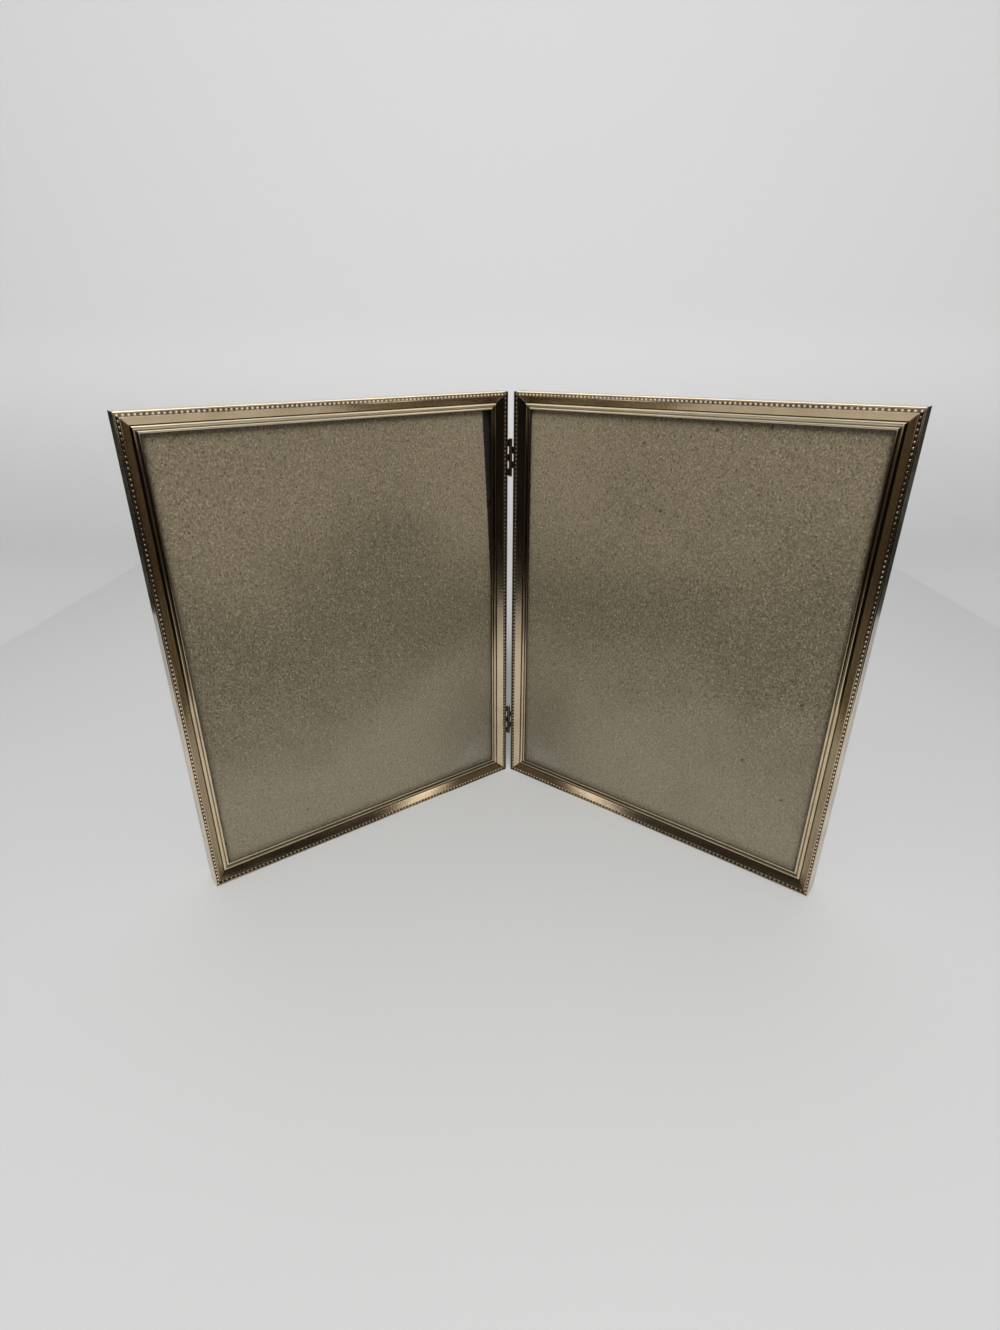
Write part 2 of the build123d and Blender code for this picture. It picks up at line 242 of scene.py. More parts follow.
leaf_width, leaf_height, rail_width = 0.2159, 0.2667, 0.0103
hinge_gap, hinge_line, leaf_turn = 0.00195, 0.061666, math.radians(37.2)
plain_gold, dark_gold = (0.80, 0.66, 0.46, 1.0), (0.42, 0.30, 0.18, 1.0)
deep_gold, pale_gold = (0.60, 0.43, 0.26, 1.0), (0.98, 0.88, 0.66, 1.0)
reflection_brown, olive_brown = (0.13, 0.085, 0.05, 1.0), (0.24, 0.175, 0.10, 1.0)
foot_reflection_brown, wall_brown = (0.08, 0.052, 0.030, 1.0), (0.20, 0.135, 0.08, 1.0)
pinprick_brown, groove_and_shade_dark = (0.10, 0.065, 0.04, 1.0), (0.030, 0.020, 0.013, 1.0)
# Distances in from the outer edge at which each strip of the moulding's face starts, is
# full, is full until, and ends.
channel_strip = (0.0008, 0.0010, 0.0022, 0.0025)
band_strip = (0.0025, 0.0027, 0.0060, 0.0062)
quirk_strip = (0.0060, 0.0061, 0.0065, 0.0067)
groove_strip = (0.00832, 0.00845, 0.0087, 0.00885)
crest_inset = 0.0074


def new_group(name, inputs, outputs):
    """Starts a group of nodes with these named inputs and outputs."""
    made = bpy.data.node_groups.new(name, "ShaderNodeTree")
    for socket, kind in inputs:
        made.interface.new_socket(socket, in_out="INPUT", socket_type="NodeSocket" + kind)
    for socket, kind in outputs:
        made.interface.new_socket(socket, in_out="OUTPUT", socket_type="NodeSocket" + kind)
    return made, made.nodes.new("NodeGroupInput").outputs, made.nodes.new("NodeGroupOutput").inputs


def use_group(tree, made, sockets):
    """Places a group of nodes in a material and sets its inputs."""
    placed = add_node(tree, "Group", node_tree=made)
    set_sockets(tree, placed.inputs, sockets)
    return placed.outputs


def within(tree, value, start, full, full_until, end):
    """Gives 1 where value lies inside a strip, and fades to 0 at the strip's two ends."""
    return calculate(tree, "MULTIPLY", fade(tree, value, start, full),
                     fade(tree, value, end, full_until))


# Where a point lies on its leaf: how far in from the nearest outer edge, how far back from
# the front, how far from the hinge side and how high. Foot and Head are 1 on the bottom and
# top lengths of moulding, Outer Top and Outer Low on the two halves of the outer length, and
# Hinge Top on the upper half of the hinge side's.
leaf_map, given, result = new_group(
    "place_on_leaf", [("Place", "Vector")],
    [("Inset", "Float"), ("Depth", "Float"), ("From Hinge", "Float"), ("Height", "Float"),
     ("Foot", "Float"), ("Head", "Float"), ("Outer Top", "Float"), ("Outer Low", "Float"),
     ("Hinge Top", "Float"), ("Grain", "Vector")])
parts = add_node(leaf_map, "SeparateXYZ", {"Vector": given["Place"]})
aside = calculate(leaf_map, "ABSOLUTE", parts.outputs[0])
beyond = calculate(leaf_map, "SUBTRACT", parts.outputs[1], hinge_line)
height = parts.outputs[2]
across = calculate(leaf_map, "SUBTRACT",
                   calculate(leaf_map, "MULTIPLY", aside, math.cos(leaf_turn)),
                   calculate(leaf_map, "MULTIPLY", beyond, math.sin(leaf_turn)))
depth = calculate(leaf_map, "ADD",
                  calculate(leaf_map, "MULTIPLY", aside, math.sin(leaf_turn)),
                  calculate(leaf_map, "MULTIPLY", beyond, math.cos(leaf_turn)))
from_hinge = calculate(leaf_map, "SUBTRACT", across, hinge_gap)
from_side = calculate(leaf_map, "MINIMUM", from_hinge,
                      calculate(leaf_map, "SUBTRACT", hinge_gap + leaf_width, across))
from_end = calculate(leaf_map, "MINIMUM", height,
                     calculate(leaf_map, "SUBTRACT", leaf_height, height))
inset = calculate(leaf_map, "MINIMUM", from_side, from_end)
upright = calculate(leaf_map, "LESS_THAN", from_side, from_end)
level_run = calculate(leaf_map, "MULTIPLY", across, calculate(leaf_map, "SUBTRACT", 1.0, upright))
run = calculate(leaf_map, "MULTIPLY_ADD", height, upright, level_run)
grain = add_node(leaf_map, "CombineXYZ", {0: inset, 1: run, 2: depth}).outputs[0]
foot = fade(leaf_map, calculate(leaf_map, "SUBTRACT", height, inset), 0.0003, 0.0001)
below_head = calculate(leaf_map, "SUBTRACT", leaf_height, height)
head = fade(leaf_map, calculate(leaf_map, "SUBTRACT", below_head, inset), 0.0003, 0.0001)
past_mitre = calculate(leaf_map, "ADD", below_head,
                       calculate(leaf_map, "SUBTRACT", from_hinge, leaf_width))
outer_top = calculate(leaf_map, "MULTIPLY", fade(leaf_map, past_mitre, 0.0003, 0.0008),
                      calculate(leaf_map, "MULTIPLY", fade(leaf_map, from_hinge, 0.15, 0.20),
                                fade(leaf_map, height, 0.11, 0.20)))
outer_low = calculate(leaf_map, "MULTIPLY",
                      fade(leaf_map, from_hinge, leaf_width - 0.0105, leaf_width - 0.0103),
                      calculate(leaf_map, "MULTIPLY", fade(leaf_map, height, 0.20, 0.11),
                                calculate(leaf_map, "SUBTRACT", 1.0, foot)))
hinge_top = calculate(leaf_map, "MULTIPLY", fade(leaf_map, from_hinge, 0.0105, rail_width),
                      calculate(leaf_map, "MULTIPLY", fade(leaf_map, height, 0.085, 0.125),
                                calculate(leaf_map, "SUBTRACT", 1.0, head)))
set_sockets(leaf_map, result, {
    "Inset": inset, "Depth": depth, "From Hinge": from_hinge, "Height": height, "Foot": foot,
    "Head": head, "Outer Top": outer_top, "Outer Low": outer_low, "Hinge Top": hinge_top,
    "Grain": grain})

# Handling wear that every metal piece has: cloudy tarnish, dark pinpricks, and fine scratches.
metal_wear, given, result = new_group(
    "metal_wear", [("Place", "Vector"), ("Grain", "Vector")],
    [("Tarnish", "Float"), ("Pinpricks", "Float"), ("Height", "Float")])
clouds = add_node(metal_wear, "TexNoise", {"Vector": given["Place"], "Scale": 42.0, "Detail": 5.0,
                                           "Roughness": 0.62}).outputs["Fac"]
specks = add_node(metal_wear, "TexNoise", {"Vector": given["Place"], "Scale": 900.0, "Detail": 2.0,
                                           "Roughness": 0.7}).outputs["Fac"]
stretched = add_node(metal_wear, "Mapping", {"Vector": given["Grain"],
                                             "Scale": (3000.0, 260.0, 3000.0)}).outputs[0]
scratches = add_node(metal_wear, "TexNoise", {"Vector": stretched, "Scale": 1.0, "Detail": 3.0,
                                              "Roughness": 0.6}).outputs["Fac"]
fine = add_node(metal_wear, "TexNoise", {"Vector": given["Place"], "Scale": 2600.0,
                                         "Detail": 1.0}).outputs["Fac"]
height_sum = calculate(metal_wear, "MULTIPLY_ADD", scratches, 0.6, fine)
set_sockets(metal_wear, result, {"Tarnish": fade(metal_wear, clouds, 0.38, 0.66),
                                 "Pinpricks": fade(metal_wear, specks, 0.66, 0.74),
                                 "Height": height_sum})

moulding_brass, tree, shader = new_material("moulding_brass")
place = add_node(tree, "TexCoord").outputs["Object"]
where = use_group(tree, leaf_map, {"Place": place})
wear = use_group(tree, metal_wear, {"Place": place, "Grain": where["Grain"]})
inset, depth, from_hinge = where["Inset"], where["Depth"], where["From Hinge"]
in_channel = within(tree, inset, *channel_strip)
in_groove = within(tree, inset, *groove_strip)
in_quirk = within(tree, inset, *quirk_strip)
on_band = within(tree, inset, *band_strip)
on_wall = calculate(tree, "MULTIPLY", fade(tree, depth, 0.0015, 0.0035),
                    fade(tree, inset, 0.0012, 0.0004))
on_wall = calculate(tree, "MULTIPLY", on_wall,
                    fade(tree, where["Height"], leaf_height - 0.0005, leaf_height - 0.002))
# A painted shadow darkens the lip's inner edge beside the glass.
at_glass = fade(tree, inset, 0.0098, 0.0101)
# The narrow grooves are darkened, less on the top lengths.
channel_darkening = calculate(tree, "MULTIPLY_ADD", where["Head"], -0.40, 0.85)
groove_darkening = calculate(tree, "MULTIPLY_ADD", where["Head"], -0.25, 0.70)
grooves_and_shade = calculate(tree, "MAXIMUM", calculate(tree, "MULTIPLY", in_channel, channel_darkening),
                 calculate(tree, "MULTIPLY", in_groove, groove_darkening))
grooves_and_shade = calculate(tree, "MAXIMUM", grooves_and_shade, calculate(tree, "MULTIPLY", in_quirk, 0.9))
grooves_and_shade = calculate(tree, "MAXIMUM", grooves_and_shade, calculate(tree, "MULTIPLY", at_glass, 0.85))
# Inward of the band, surfaces that face down are painted dark, little on the top lengths: painted
# shade.
facing = add_node(tree, "TexCoord").outputs["Normal"]
facing_up = add_node(tree, "SeparateXYZ", {"Vector": facing}).outputs[2]
painted_underside_shade = calculate(tree, "MULTIPLY", fade(tree, facing_up, 0.02, -0.20),
                      fade(tree, inset, 0.0061, 0.0063, 0.0, 0.85))
painted_underside_shade = calculate(tree, "MULTIPLY", painted_underside_shade,
                      calculate(tree, "MULTIPLY_ADD", where["Head"], -0.90, 1.0))
grooves_and_shade = calculate(tree, "MAXIMUM", grooves_and_shade, painted_underside_shade)
# Along the bottom lengths, painted shade darkens the half round's flanks and the groove beside it,
# and leaves only the crest clear.
off_crest = calculate(tree, "ABSOLUTE", calculate(tree, "SUBTRACT", inset, crest_inset))
painted_flank_shade = calculate(tree, "MULTIPLY", fade(tree, off_crest, 0.0003, 0.0006),
                  fade(tree, off_crest, 0.0013, 0.0012, 0.0, 0.88))
grooves_and_shade = calculate(tree, "MAXIMUM", grooves_and_shade, calculate(tree, "MULTIPLY", where["Foot"], painted_flank_shade))
# Painted shade darkens the hinge side's rim and channel, in the gap between the leaves.
grooves_and_shade = calculate(tree, "MAXIMUM", grooves_and_shade, fade(tree, from_hinge, 0.0027, 0.0021, 0.0, 0.8))
tarnished = calculate(tree, "MULTIPLY", wear["Tarnish"], 0.35)
colour = mix_colours(tree, tarnished, plain_gold, dark_gold)
# The band is tinted deeper gold, less on the hinge side's length, where it is painted lighter:
# painted light for the bright floor it mirrors.
band_tint_and_light = calculate(tree, "MULTIPLY", on_band,
                  fade(tree, from_hinge, rail_width, 0.0105, 0.12, 0.38))
colour = mix_colours(tree, band_tint_and_light, colour, deep_gold)
pricked = calculate(tree, "MULTIPLY", wear["Pinpricks"], 0.6)
colour = mix_colours(tree, pricked, colour, pinprick_brown)
# Painted dark reflections: the outer lengths' upper halves, the bottom lengths' ends, the top
# lengths' bands beside the hinge and the upper half of the hinge side's length are painted brown
# for the dark things they mirror.
foot_end_shade = calculate(tree, "ADD", fade(tree, from_hinge, 0.060, 0.040, 0.0, 0.62),
                       fade(tree, from_hinge, 0.082, 0.110, 0.0, 0.72))
painted_foot_shade = calculate(tree, "MULTIPLY", where["Foot"],
                       calculate(tree, "MULTIPLY", foot_end_shade, fade(tree, inset, 0.0064, 0.0062)))
head_shade = calculate(tree, "MULTIPLY", where["Head"],
                       calculate(tree, "MULTIPLY", on_band,
                                 fade(tree, from_hinge, 0.105, 0.060, 0.0, 0.30)))
outer_shade = calculate(tree, "MULTIPLY", where["Outer Top"], 0.75)
hinge_shade = calculate(tree, "MULTIPLY", where["Hinge Top"],
                        fade(tree, inset, 0.0060, 0.0062, 0.45, 0.88))
painted_dark_reflection = calculate(tree, "MAXIMUM", head_shade,
                    calculate(tree, "MAXIMUM", outer_shade, hinge_shade))
colour = mix_colours(tree, painted_dark_reflection, colour, reflection_brown)
# The outer lengths' lower bands are tinted olive brown.
brown_low = calculate(tree, "MULTIPLY", where["Outer Low"],
                      calculate(tree, "MULTIPLY", on_band, 0.55))
colour = mix_colours(tree, brown_low, colour, olive_brown)
colour = mix_colours(tree, painted_foot_shade, colour, foot_reflection_brown)
# The side walls, all but the top one, are painted dark brown, mottled with the tarnish: painted
# shade for the dark things they mirror.
painted_wall_shade = calculate(tree, "MULTIPLY", on_wall,
                   calculate(tree, "MULTIPLY_ADD", wear["Tarnish"], 0.45, 0.5))
colour = mix_colours(tree, painted_wall_shade, colour, wall_brown)
# The top lengths' half round, groove and lip are painted pale gold, a painted highlight, and made
# rougher.
wear_and_highlight = calculate(tree, "MULTIPLY", where["Head"], fade(tree, inset, 0.0063, 0.0065))
colour = mix_colours(tree, calculate(tree, "MULTIPLY", wear_and_highlight, 0.7), colour, pale_gold)
colour = mix_colours(tree, grooves_and_shade, colour, groove_and_shade_dark)
roughness = calculate(tree, "MULTIPLY_ADD", on_band, 0.06, 0.08)
roughness = calculate(tree, "MULTIPLY_ADD", wear["Tarnish"], 0.05, roughness)
roughness = calculate(tree, "MULTIPLY_ADD", grooves_and_shade, 0.3, roughness)
roughness = calculate(tree, "MULTIPLY_ADD", wear_and_highlight, 0.29, roughness)
# The sheet's rolled band has a faint orange peel.
peel = add_node(tree, "TexNoise", {"Vector": place, "Scale": 1200.0, "Detail": 1.0}).outputs["Fac"]
waves = add_node(tree, "Bump", {"Height": peel, "Distance": 0.00006,
                                "Strength": calculate(tree, "MULTIPLY", on_band, 0.45)})
bump = add_node(tree, "Bump", {"Height": wear["Height"], "Strength": 0.15, "Distance": 0.00002,
                               "Normal": waves.outputs[0]})
set_sockets(tree, shader.inputs, {"Base Color": colour, "Roughness": roughness,
                                  "Normal": bump.outputs[0], "Metallic": 1.0})
for name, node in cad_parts.items():
    if name.endswith("_rail"):
        node.material_slots[0].material = moulding_brass


# Beading
# A close row of tiny half-round beads, embossed in the channel of every length of moulding
# and polished on top where hands and dusters have rubbed them.

bead_radius, bead_pitch, bead_inset = 0.00072, 0.0025, 0.0016
channel_floor, bead_sink = 0.0010, 0.00008
bead_sides, bead_rings, bead_stretch, bead_rise = 12, 8, 1.06, 1.25
bead_gold, bead_foot_dark, bead_shade_brown = (
    (0.95, 0.84, 0.66, 1.0), (0.06, 0.038, 0.024, 1.0), (0.06, 0.040, 0.025, 1.0))


def leaf_place(side, across, up, depth):
    """Gives the point that far across a leaf from its middle, up from its foot and back
    from its front."""
    turn = -side * leaf_turn
    along = Vector((math.cos(turn), math.sin(turn), 0.0))
    outwards = Vector((math.sin(turn), -math.cos(turn), 0.0))
    middle = Vector((0.0, hinge_line, 0.0)) + along * side * (hinge_gap + leaf_width / 2)
    return middle + along * across + Vector((0.0, 0.0, up)) - outwards * depth


bead_brass, tree, shader = new_material("bead_brass")
place = add_node(tree, "TexCoord").outputs["Object"]
where = use_group(tree, leaf_map, {"Place": place})
wear = use_group(tree, metal_wear, {"Place": place, "Grain": where["Grain"]})
# The beads are darkened round their feet, less on the top lengths; low on the outer lengths and
# beside the hinge the darkening is painted shade.
by_hinge = calculate(tree, "MULTIPLY", fade(tree, where["From Hinge"], 0.0026, 0.0021),
                     fade(tree, where["Height"], 0.10, 0.18, 0.35, 0.75))
bead_feet_and_shade = calculate(tree, "MULTIPLY", fade(tree, where["Depth"], 0.00076, channel_floor),
                      calculate(tree, "MULTIPLY_ADD", where["Head"], -0.5, 1.0))
painted_low_bead_shade = calculate(tree, "MULTIPLY", where["Outer Low"],
                     fade(tree, where["Depth"], 0.00045, 0.00080))
bead_feet_and_shade = calculate(tree, "MAXIMUM", bead_feet_and_shade, calculate(tree, "MAXIMUM", painted_low_bead_shade, by_hinge))
tarnished = calculate(tree, "MULTIPLY", wear["Tarnish"], 0.25)
colour = mix_colours(tree, tarnished, bead_gold, dark_gold)
colour = mix_colours(tree, bead_feet_and_shade, colour, bead_foot_dark)
uneven = calculate(tree, "MULTIPLY_ADD", wear["Tarnish"], 0.45, 0.50)
# Painted shade darkens the beads of the bottom lengths, more away from the hinge, and those of the
# outer lengths' upper halves, unevenly.
along_foot = calculate(tree, "MULTIPLY", where["Foot"],
                       fade(tree, where["From Hinge"], 0.06, 0.14, 0.25, 0.62))
painted_bead_shade = calculate(tree, "MAXIMUM", along_foot,
                    calculate(tree, "MULTIPLY", where["Outer Top"], uneven))
colour = mix_colours(tree, painted_bead_shade, colour, bead_shade_brown)
roughness = calculate(tree, "MULTIPLY_ADD", bead_feet_and_shade, 0.35, 0.16)
# The top lengths' beads are lacquered over and shine less like bare metal.
plated = fade(tree, where["Height"], leaf_height - 0.0040, leaf_height - 0.0030, 1.0, 0.55)
bump = add_node(tree, "Bump", {"Height": wear["Height"], "Strength": 0.15, "Distance": 0.00001})
set_sockets(tree, shader.inputs, {"Base Color": colour, "Roughness": roughness,
                                  "Metallic": plated, "Normal": bump.outputs[0]})

for side, side_name in ((-1, "left"), (1, "right")):
    # Each row's rail, where its first bead lies across and up the leaf, and its direction.
    rows = (
        ("top", -leaf_width / 2 + bead_inset, leaf_height - bead_inset, False),
        ("bottom", -leaf_width / 2 + bead_inset, bead_inset, False),
        ("hinge", -side * (leaf_width / 2 - bead_inset), bead_inset, True),
        ("outer", side * (leaf_width / 2 - bead_inset), bead_inset, True),
    )
    for rail, across, up, upright in rows:
        length = (leaf_height if upright else leaf_width) - 2 * bead_inset
        spaces = round(length / bead_pitch)
        pitch = length / spaces
        count = spaces - 1 if upright else spaces + 1
        up += pitch if upright else 0.0
        centre = leaf_place(side, across, up, channel_floor + bead_sink)
        step = (Vector((0.0, 0.0, pitch)) if upright
                else leaf_place(side, pitch, 0.0, 0.0) - leaf_place(side, 0.0, 0.0, 0.0))
        outwards = leaf_place(side, 0.0, 0.0, -1.0) - leaf_place(side, 0.0, 0.0, 0.0)
        bpy.ops.object.select_all(action="DESELECT")
        bpy.ops.mesh.primitive_uv_sphere_add(
            segments=bead_sides, ring_count=bead_rings, radius=bead_radius, location=centre,
            rotation=outwards.to_track_quat("Z", "Y").to_euler())
        beads = bpy.context.object
        beads.name = f"{side_name}_{rail}_beads"
        beads.scale = ((1.0, bead_stretch, bead_rise) if upright
                       else (bead_stretch, 1.0, bead_rise))
        bpy.ops.object.transform_apply(location=True, rotation=True, scale=True)
        bpy.ops.object.mode_set(mode="EDIT")
        bpy.ops.mesh.select_all(action="SELECT")
        bpy.ops.mesh.bisect(plane_co=centre - outwards * bead_sink / 2, plane_no=outwards,
                            clear_inner=True)
        bpy.ops.object.mode_set(mode="OBJECT")
        bpy.ops.object.shade_smooth()
        row = beads.modifiers.new("row", "ARRAY")
        row.count, row.use_relative_offset, row.use_constant_offset = count, False, True
        row.constant_offset_displace = step
        bpy.ops.object.modifier_apply(modifier="row")
        beads.data.materials.append(bead_brass)
        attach(beads, f"{side_name}_leaf")


# Chipboards
# Behind each glass lies a sheet of grey-brown chipboard, pressed from waste paper, with
# fibres and dark flecks in it. The left one is trimmed askew along its hinge edge.

chipboard, tree, shader = new_material("pressed_chipboard")
board_low, board_middle, board_top = (
    (0.258, 0.216, 0.156, 1.0), (0.152, 0.120, 0.078, 1.0), (0.230, 0.177, 0.116, 1.0))
reflection_shade_brown, hinge_light_tone = (0.03, 0.022, 0.010, 1.0), (0.34, 0.27, 0.185, 1.0)
fibre_dark, fibre_pale = (0.050, 0.038, 0.024, 1.0), (0.47, 0.39, 0.28, 1.0)
fleck_dark, fleck_pale = (0.045, 0.036, 0.026, 1.0), (0.45, 0.39, 0.30, 1.0)
place = add_node(tree, "TexCoord").outputs["Object"]
where = use_group(tree, leaf_map, {"Place": place})
height = where["Height"]
# The board is painted darker across its middle and lighter low and high: painted reflections of
# floor and ceiling in the glass. Beside the hinge it is painted darker low down, a painted
# reflection of the other leaf, and lighter above that, painted light.
broad = add_node(tree, "TexNoise", {"Vector": place, "Scale": 14.0, "Detail": 3.0}).outputs["Fac"]
rising = calculate(tree, "MULTIPLY_ADD", height, 3.2, calculate(tree, "MULTIPLY", broad, 0.5))
colour = mix_colours(tree, fade(tree, rising, 0.35, 0.70), board_low, board_middle)
colour = mix_colours(tree, fade(tree, rising, 0.72, 1.00), colour, board_top)
near_hinge = fade(tree, where["From Hinge"], 0.085, 0.015)
hinge_reflection_dark = calculate(tree, "MULTIPLY", near_hinge, fade(tree, height, 0.10, 0.04, 0.0, 0.32))
hinge_light_patch = calculate(tree, "MULTIPLY", near_hinge, fade(tree, height, 0.13, 0.20, 0.0, 0.45))
colour = mix_colours(tree, hinge_reflection_dark, colour, reflection_shade_brown)
colour = mix_colours(tree, hinge_light_patch, colour, hinge_light_tone)
pulled = add_node(tree, "Mapping", {"Vector": place, "Scale": (1250.0, 1250.0, 900.0)}).outputs[0]
fibre = add_node(tree, "TexNoise", {"Vector": pulled, "Scale": 1.0, "Detail": 4.0,
                                    "Roughness": 0.65, "Distortion": 0.8}).outputs["Fac"]
# The fibres are painted fainter low down, a painted stand-in for the glass's sheen washing them
# out.
fibres_under_sheen = fade(tree, height, 0.05, 0.12, 0.60, 1.0)
dark_fibre = calculate(tree, "MULTIPLY", fibres_under_sheen, fade(tree, fibre, 0.50, 0.30, 0.0, 0.95))
light_fibre = calculate(tree, "MULTIPLY", fibres_under_sheen, fade(tree, fibre, 0.50, 0.72, 0.0, 0.85))
colour = mix_colours(tree, dark_fibre, colour, fibre_dark)
colour = mix_colours(tree, light_fibre, colour, fibre_pale)
flecks = add_node(tree, "TexVoronoi", {"Vector": place, "Scale": 95.0, "Randomness": 1.0})
chosen = add_node(tree, "SeparateColor", {"Color": flecks.outputs["Color"]}).outputs[0]
edge = add_node(tree, "TexNoise", {"Vector": place, "Scale": 1800.0, "Detail": 2.0}).outputs["Fac"]
ragged = calculate(tree, "MULTIPLY_ADD", calculate(tree, "SUBTRACT", edge, 0.5), 0.10,
                   flecks.outputs["Distance"])
dark_fleck = calculate(tree, "MULTIPLY", fade(tree, ragged, 0.13, 0.06),
                       fade(tree, chosen, 0.86, 0.97, 0.0, 0.8))
light_fleck = calculate(tree, "MULTIPLY", fade(tree, ragged, 0.075, 0.04),
                        fade(tree, chosen, 0.10, 0.06, 0.0, 0.55))
colour = mix_colours(tree, dark_fleck, colour, fleck_dark)
colour = mix_colours(tree, light_fleck, colour, fleck_pale)
bump = add_node(tree, "Bump", {"Height": fibre, "Strength": 0.5, "Distance": 0.00008})
set_sockets(tree, shader.inputs, {"Base Color": colour,
                                  "Roughness": fade(tree, fibre, 0.3, 0.7, 0.95, 0.82),
                                  "Normal": bump.outputs[0]})
for side_name in ("left", "right"):
    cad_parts[f"{side_name}_board"].material_slots[0].material = chipboard


# Glass
# A pane of thin glass, faintly etched against glare, stands in each leaf in front of its
# chipboard, and gives back only a blurred sheen.

glass, tree, shader = new_material("etched_glass")
glass_refraction, sheen_share = 1.42, 0.10
tree.nodes.remove(shader)
place = add_node(tree, "TexCoord").outputs["Object"]
smears = add_node(tree, "TexNoise", {"Vector": place, "Scale": 60.0, "Detail": 4.0}).outputs["Fac"]
sheen = add_node(tree, "BsdfAnisotropic", {"Color": (1.0, 1.0, 1.0, 1.0),
                                           "Roughness": fade(tree, smears, 0.4, 0.7, 0.42, 0.50)})
clear = add_node(tree, "BsdfTransparent", {"Color": (0.965, 0.975, 0.965, 1.0)})
mirrored = calculate(tree, "MULTIPLY",
                     add_node(tree, "Fresnel", {"IOR": glass_refraction}).outputs[0], sheen_share)
pane = add_node(tree, "MixShader", {0: mirrored, 1: clear.outputs[0], 2: sheen.outputs[0]})
tree.links.new(pane.outputs[0], tree.nodes["Material Output"].inputs["Surface"])
for side_name in ("left", "right"):
    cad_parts[f"{side_name}_glass"].material_slots[0].material = glass


# Back panels
# Each leaf is closed from behind by a stiff board covered in black leather-grained paper,
# cut to drop in behind the chipboard and lie under the moulding's hem.

panel_paper, tree, shader = new_material("black_grained_paper")
paper_black, paper_rubbed, grain_grey = (
    (0.012, 0.011, 0.012, 1.0), (0.030, 0.027, 0.026, 1.0), (0.05, 0.046, 0.043, 1.0))
place = add_node(tree, "TexCoord").outputs["Object"]
pores = add_node(tree, "TexVoronoi", {"Vector": place, "Scale": 900.0}, feature="SMOOTH_F1")
hills = pores.outputs["Distance"]
wear_and_highlight = add_node(tree, "TexNoise", {"Vector": place, "Scale": 26.0, "Detail": 5.0}).outputs["Fac"]
colour = mix_colours(tree, fade(tree, wear_and_highlight, 0.4, 0.7), paper_black, paper_rubbed)
colour = mix_colours(tree, fade(tree, hills, 0.55, 0.2, 0.0, 0.35), colour, grain_grey)
bump = add_node(tree, "Bump", {"Height": hills, "Strength": 0.6, "Distance": 0.00015}, invert=True)
set_sockets(tree, shader.inputs, {"Base Color": colour,
                                  "Roughness": fade(tree, wear_and_highlight, 0.35, 0.7, 0.62, 0.45),
                                  "Normal": bump.outputs[0]})
for side_name in ("left", "right"):
    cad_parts[f"{side_name}_back_panel"].material_slots[0].material = panel_paper


# Corner keys
# Flat steel angles, stamped from sheet and zinc plated, slide inside the channels at each
# corner and hold the mitres shut.

key_steel, tree, shader = new_material("zinc_plated_steel")
zinc_dark, zinc_pale, zinc_stain = (
    (0.42, 0.43, 0.44, 1.0), (0.56, 0.57, 0.58, 1.0), (0.24, 0.22, 0.20, 1.0))
place = add_node(tree, "TexCoord").outputs["Object"]
wear = use_group(tree, metal_wear, {"Place": place, "Grain": place})
spangle = add_node(tree, "TexVoronoi", {"Vector": place, "Scale": 380.0})
grey = add_node(tree, "SeparateColor", {"Color": spangle.outputs["Color"]}).outputs[0]
colour = mix_colours(tree, grey, zinc_dark, zinc_pale)
tarnished = calculate(tree, "MULTIPLY", wear["Tarnish"], 0.5)
colour = mix_colours(tree, tarnished, colour, zinc_stain)
bump = add_node(tree, "Bump", {"Height": wear["Height"], "Strength": 0.3, "Distance": 0.00002})
set_sockets(tree, shader.inputs, {"Base Color": colour,
                                  "Roughness": fade(tree, grey, 0.0, 1.0, 0.36, 0.5),
                                  "Normal": bump.outputs[0], "Metallic": 1.0})
for name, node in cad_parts.items():
    if name.endswith("_key"):
        node.material_slots[0].material = key_steel


# Turn buttons
# Small brass buttons, stamped with a finger tab, turn on rivets through the back panel and
# keep it under the moulding's hem. The rivets of buttons and hinges are of the same brass.

button_brass, tree, shader = new_material("stamped_brass")
bare_brass, brown_brass = (0.62, 0.47, 0.26, 1.0), (0.30, 0.20, 0.10, 1.0)
place = add_node(tree, "TexCoord").outputs["Object"]
wear = use_group(tree, metal_wear, {"Place": place, "Grain": place})
tarnished = calculate(tree, "MULTIPLY", wear["Tarnish"], 0.7)
colour = mix_colours(tree, tarnished, bare_brass, brown_brass)
colour = mix_colours(tree, wear["Pinpricks"], colour, pinprick_brown)
bump = add_node(tree, "Bump", {"Height": wear["Height"], "Strength": 0.4, "Distance": 0.00003})
set_sockets(tree, shader.inputs, {
    "Base Color": colour, "Roughness": fade(tree, wear["Tarnish"], 0.0, 1.0, 0.24, 0.42),
    "Normal": bump.outputs[0], "Metallic": 1.0})
for name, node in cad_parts.items():
    if name.endswith(("_button", "_rivets")):
        node.material_slots[0].material = button_brass

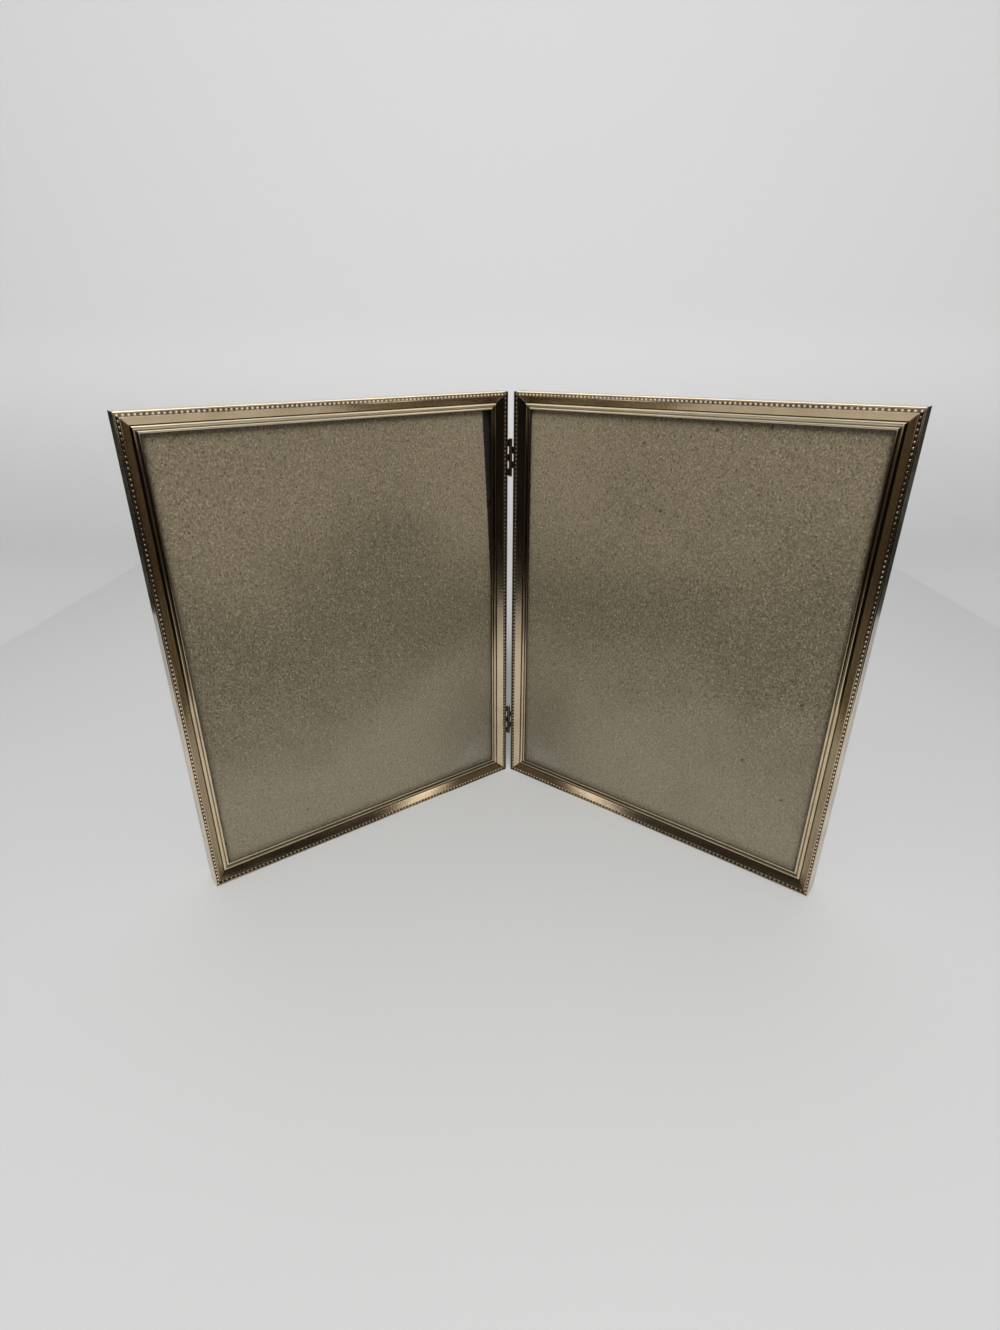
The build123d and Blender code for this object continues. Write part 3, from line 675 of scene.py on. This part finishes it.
# The panels' fronts were lacquered black after the rivets went in, over the clinched heads.
rivet_brass, tree, shader = new_material("half_painted_rivet")
lacquered_to = 0.0100
place = add_node(tree, "TexCoord").outputs["Object"]
depth = use_group(tree, leaf_map, {"Place": place})["Depth"]
wear = use_group(tree, metal_wear, {"Place": place, "Grain": place})
painted = calculate(tree, "LESS_THAN", depth, lacquered_to)
tarnished = calculate(tree, "MULTIPLY", wear["Tarnish"], 0.7)
colour = mix_colours(tree, tarnished, bare_brass, brown_brass)
colour = mix_colours(tree, painted, colour, paper_black)
bump = add_node(tree, "Bump", {"Height": wear["Height"], "Strength": 0.4, "Distance": 0.00003})
set_sockets(tree, shader.inputs, {
    "Base Color": colour, "Metallic": calculate(tree, "SUBTRACT", 1.0, painted),
    "Roughness": fade(tree, wear["Tarnish"], 0.0, 1.0, 0.30, 0.48), "Normal": bump.outputs[0]})
for side_name in ("left", "right"):
    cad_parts[f"{side_name}_button_rivets"].material_slots[0].material = rivet_brass


# Hinges
# Two small butt hinges of browned brass, rolled round a steel pin, are riveted to the
# inner sides of the leaves so that only their barrels show in the gap.

hinge_brass, tree, shader = new_material("browned_brass")
plate_brown, plate_dark, plate_pit = (
    (0.20, 0.13, 0.075, 1.0), (0.08, 0.05, 0.03, 1.0), (0.05, 0.035, 0.025, 1.0))
place = add_node(tree, "TexCoord").outputs["Object"]
wear = use_group(tree, metal_wear, {"Place": place, "Grain": place})
colour = mix_colours(tree, wear["Tarnish"], plate_brown, plate_dark)
colour = mix_colours(tree, wear["Pinpricks"], colour, plate_pit)
bump = add_node(tree, "Bump", {"Height": wear["Height"], "Strength": 0.5, "Distance": 0.00003})
set_sockets(tree, shader.inputs, {
    "Base Color": colour, "Roughness": fade(tree, wear["Tarnish"], 0.0, 1.0, 0.28, 0.5),
    "Normal": bump.outputs[0], "Metallic": 1.0})

pin_steel, tree, shader = new_material("pin_steel")
steel_grey, steel_brown = (0.44, 0.41, 0.37, 1.0), (0.17, 0.13, 0.10, 1.0)
place = add_node(tree, "TexCoord").outputs["Object"]
wear = use_group(tree, metal_wear, {"Place": place, "Grain": place})
colour = mix_colours(tree, wear["Tarnish"], steel_grey, steel_brown)
bump = add_node(tree, "Bump", {"Height": wear["Height"], "Strength": 0.4, "Distance": 0.00002})
set_sockets(tree, shader.inputs, {
    "Base Color": colour, "Roughness": fade(tree, wear["Tarnish"], 0.0, 1.0, 0.25, 0.5),
    "Normal": bump.outputs[0], "Metallic": 1.0})
for name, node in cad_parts.items():
    if name.endswith("_plate"):
        node.material_slots[0].material = hinge_brass
    if name.endswith("_pin"):
        node.material_slots[0].material = pin_steel


bpy.context.view_layer.update()
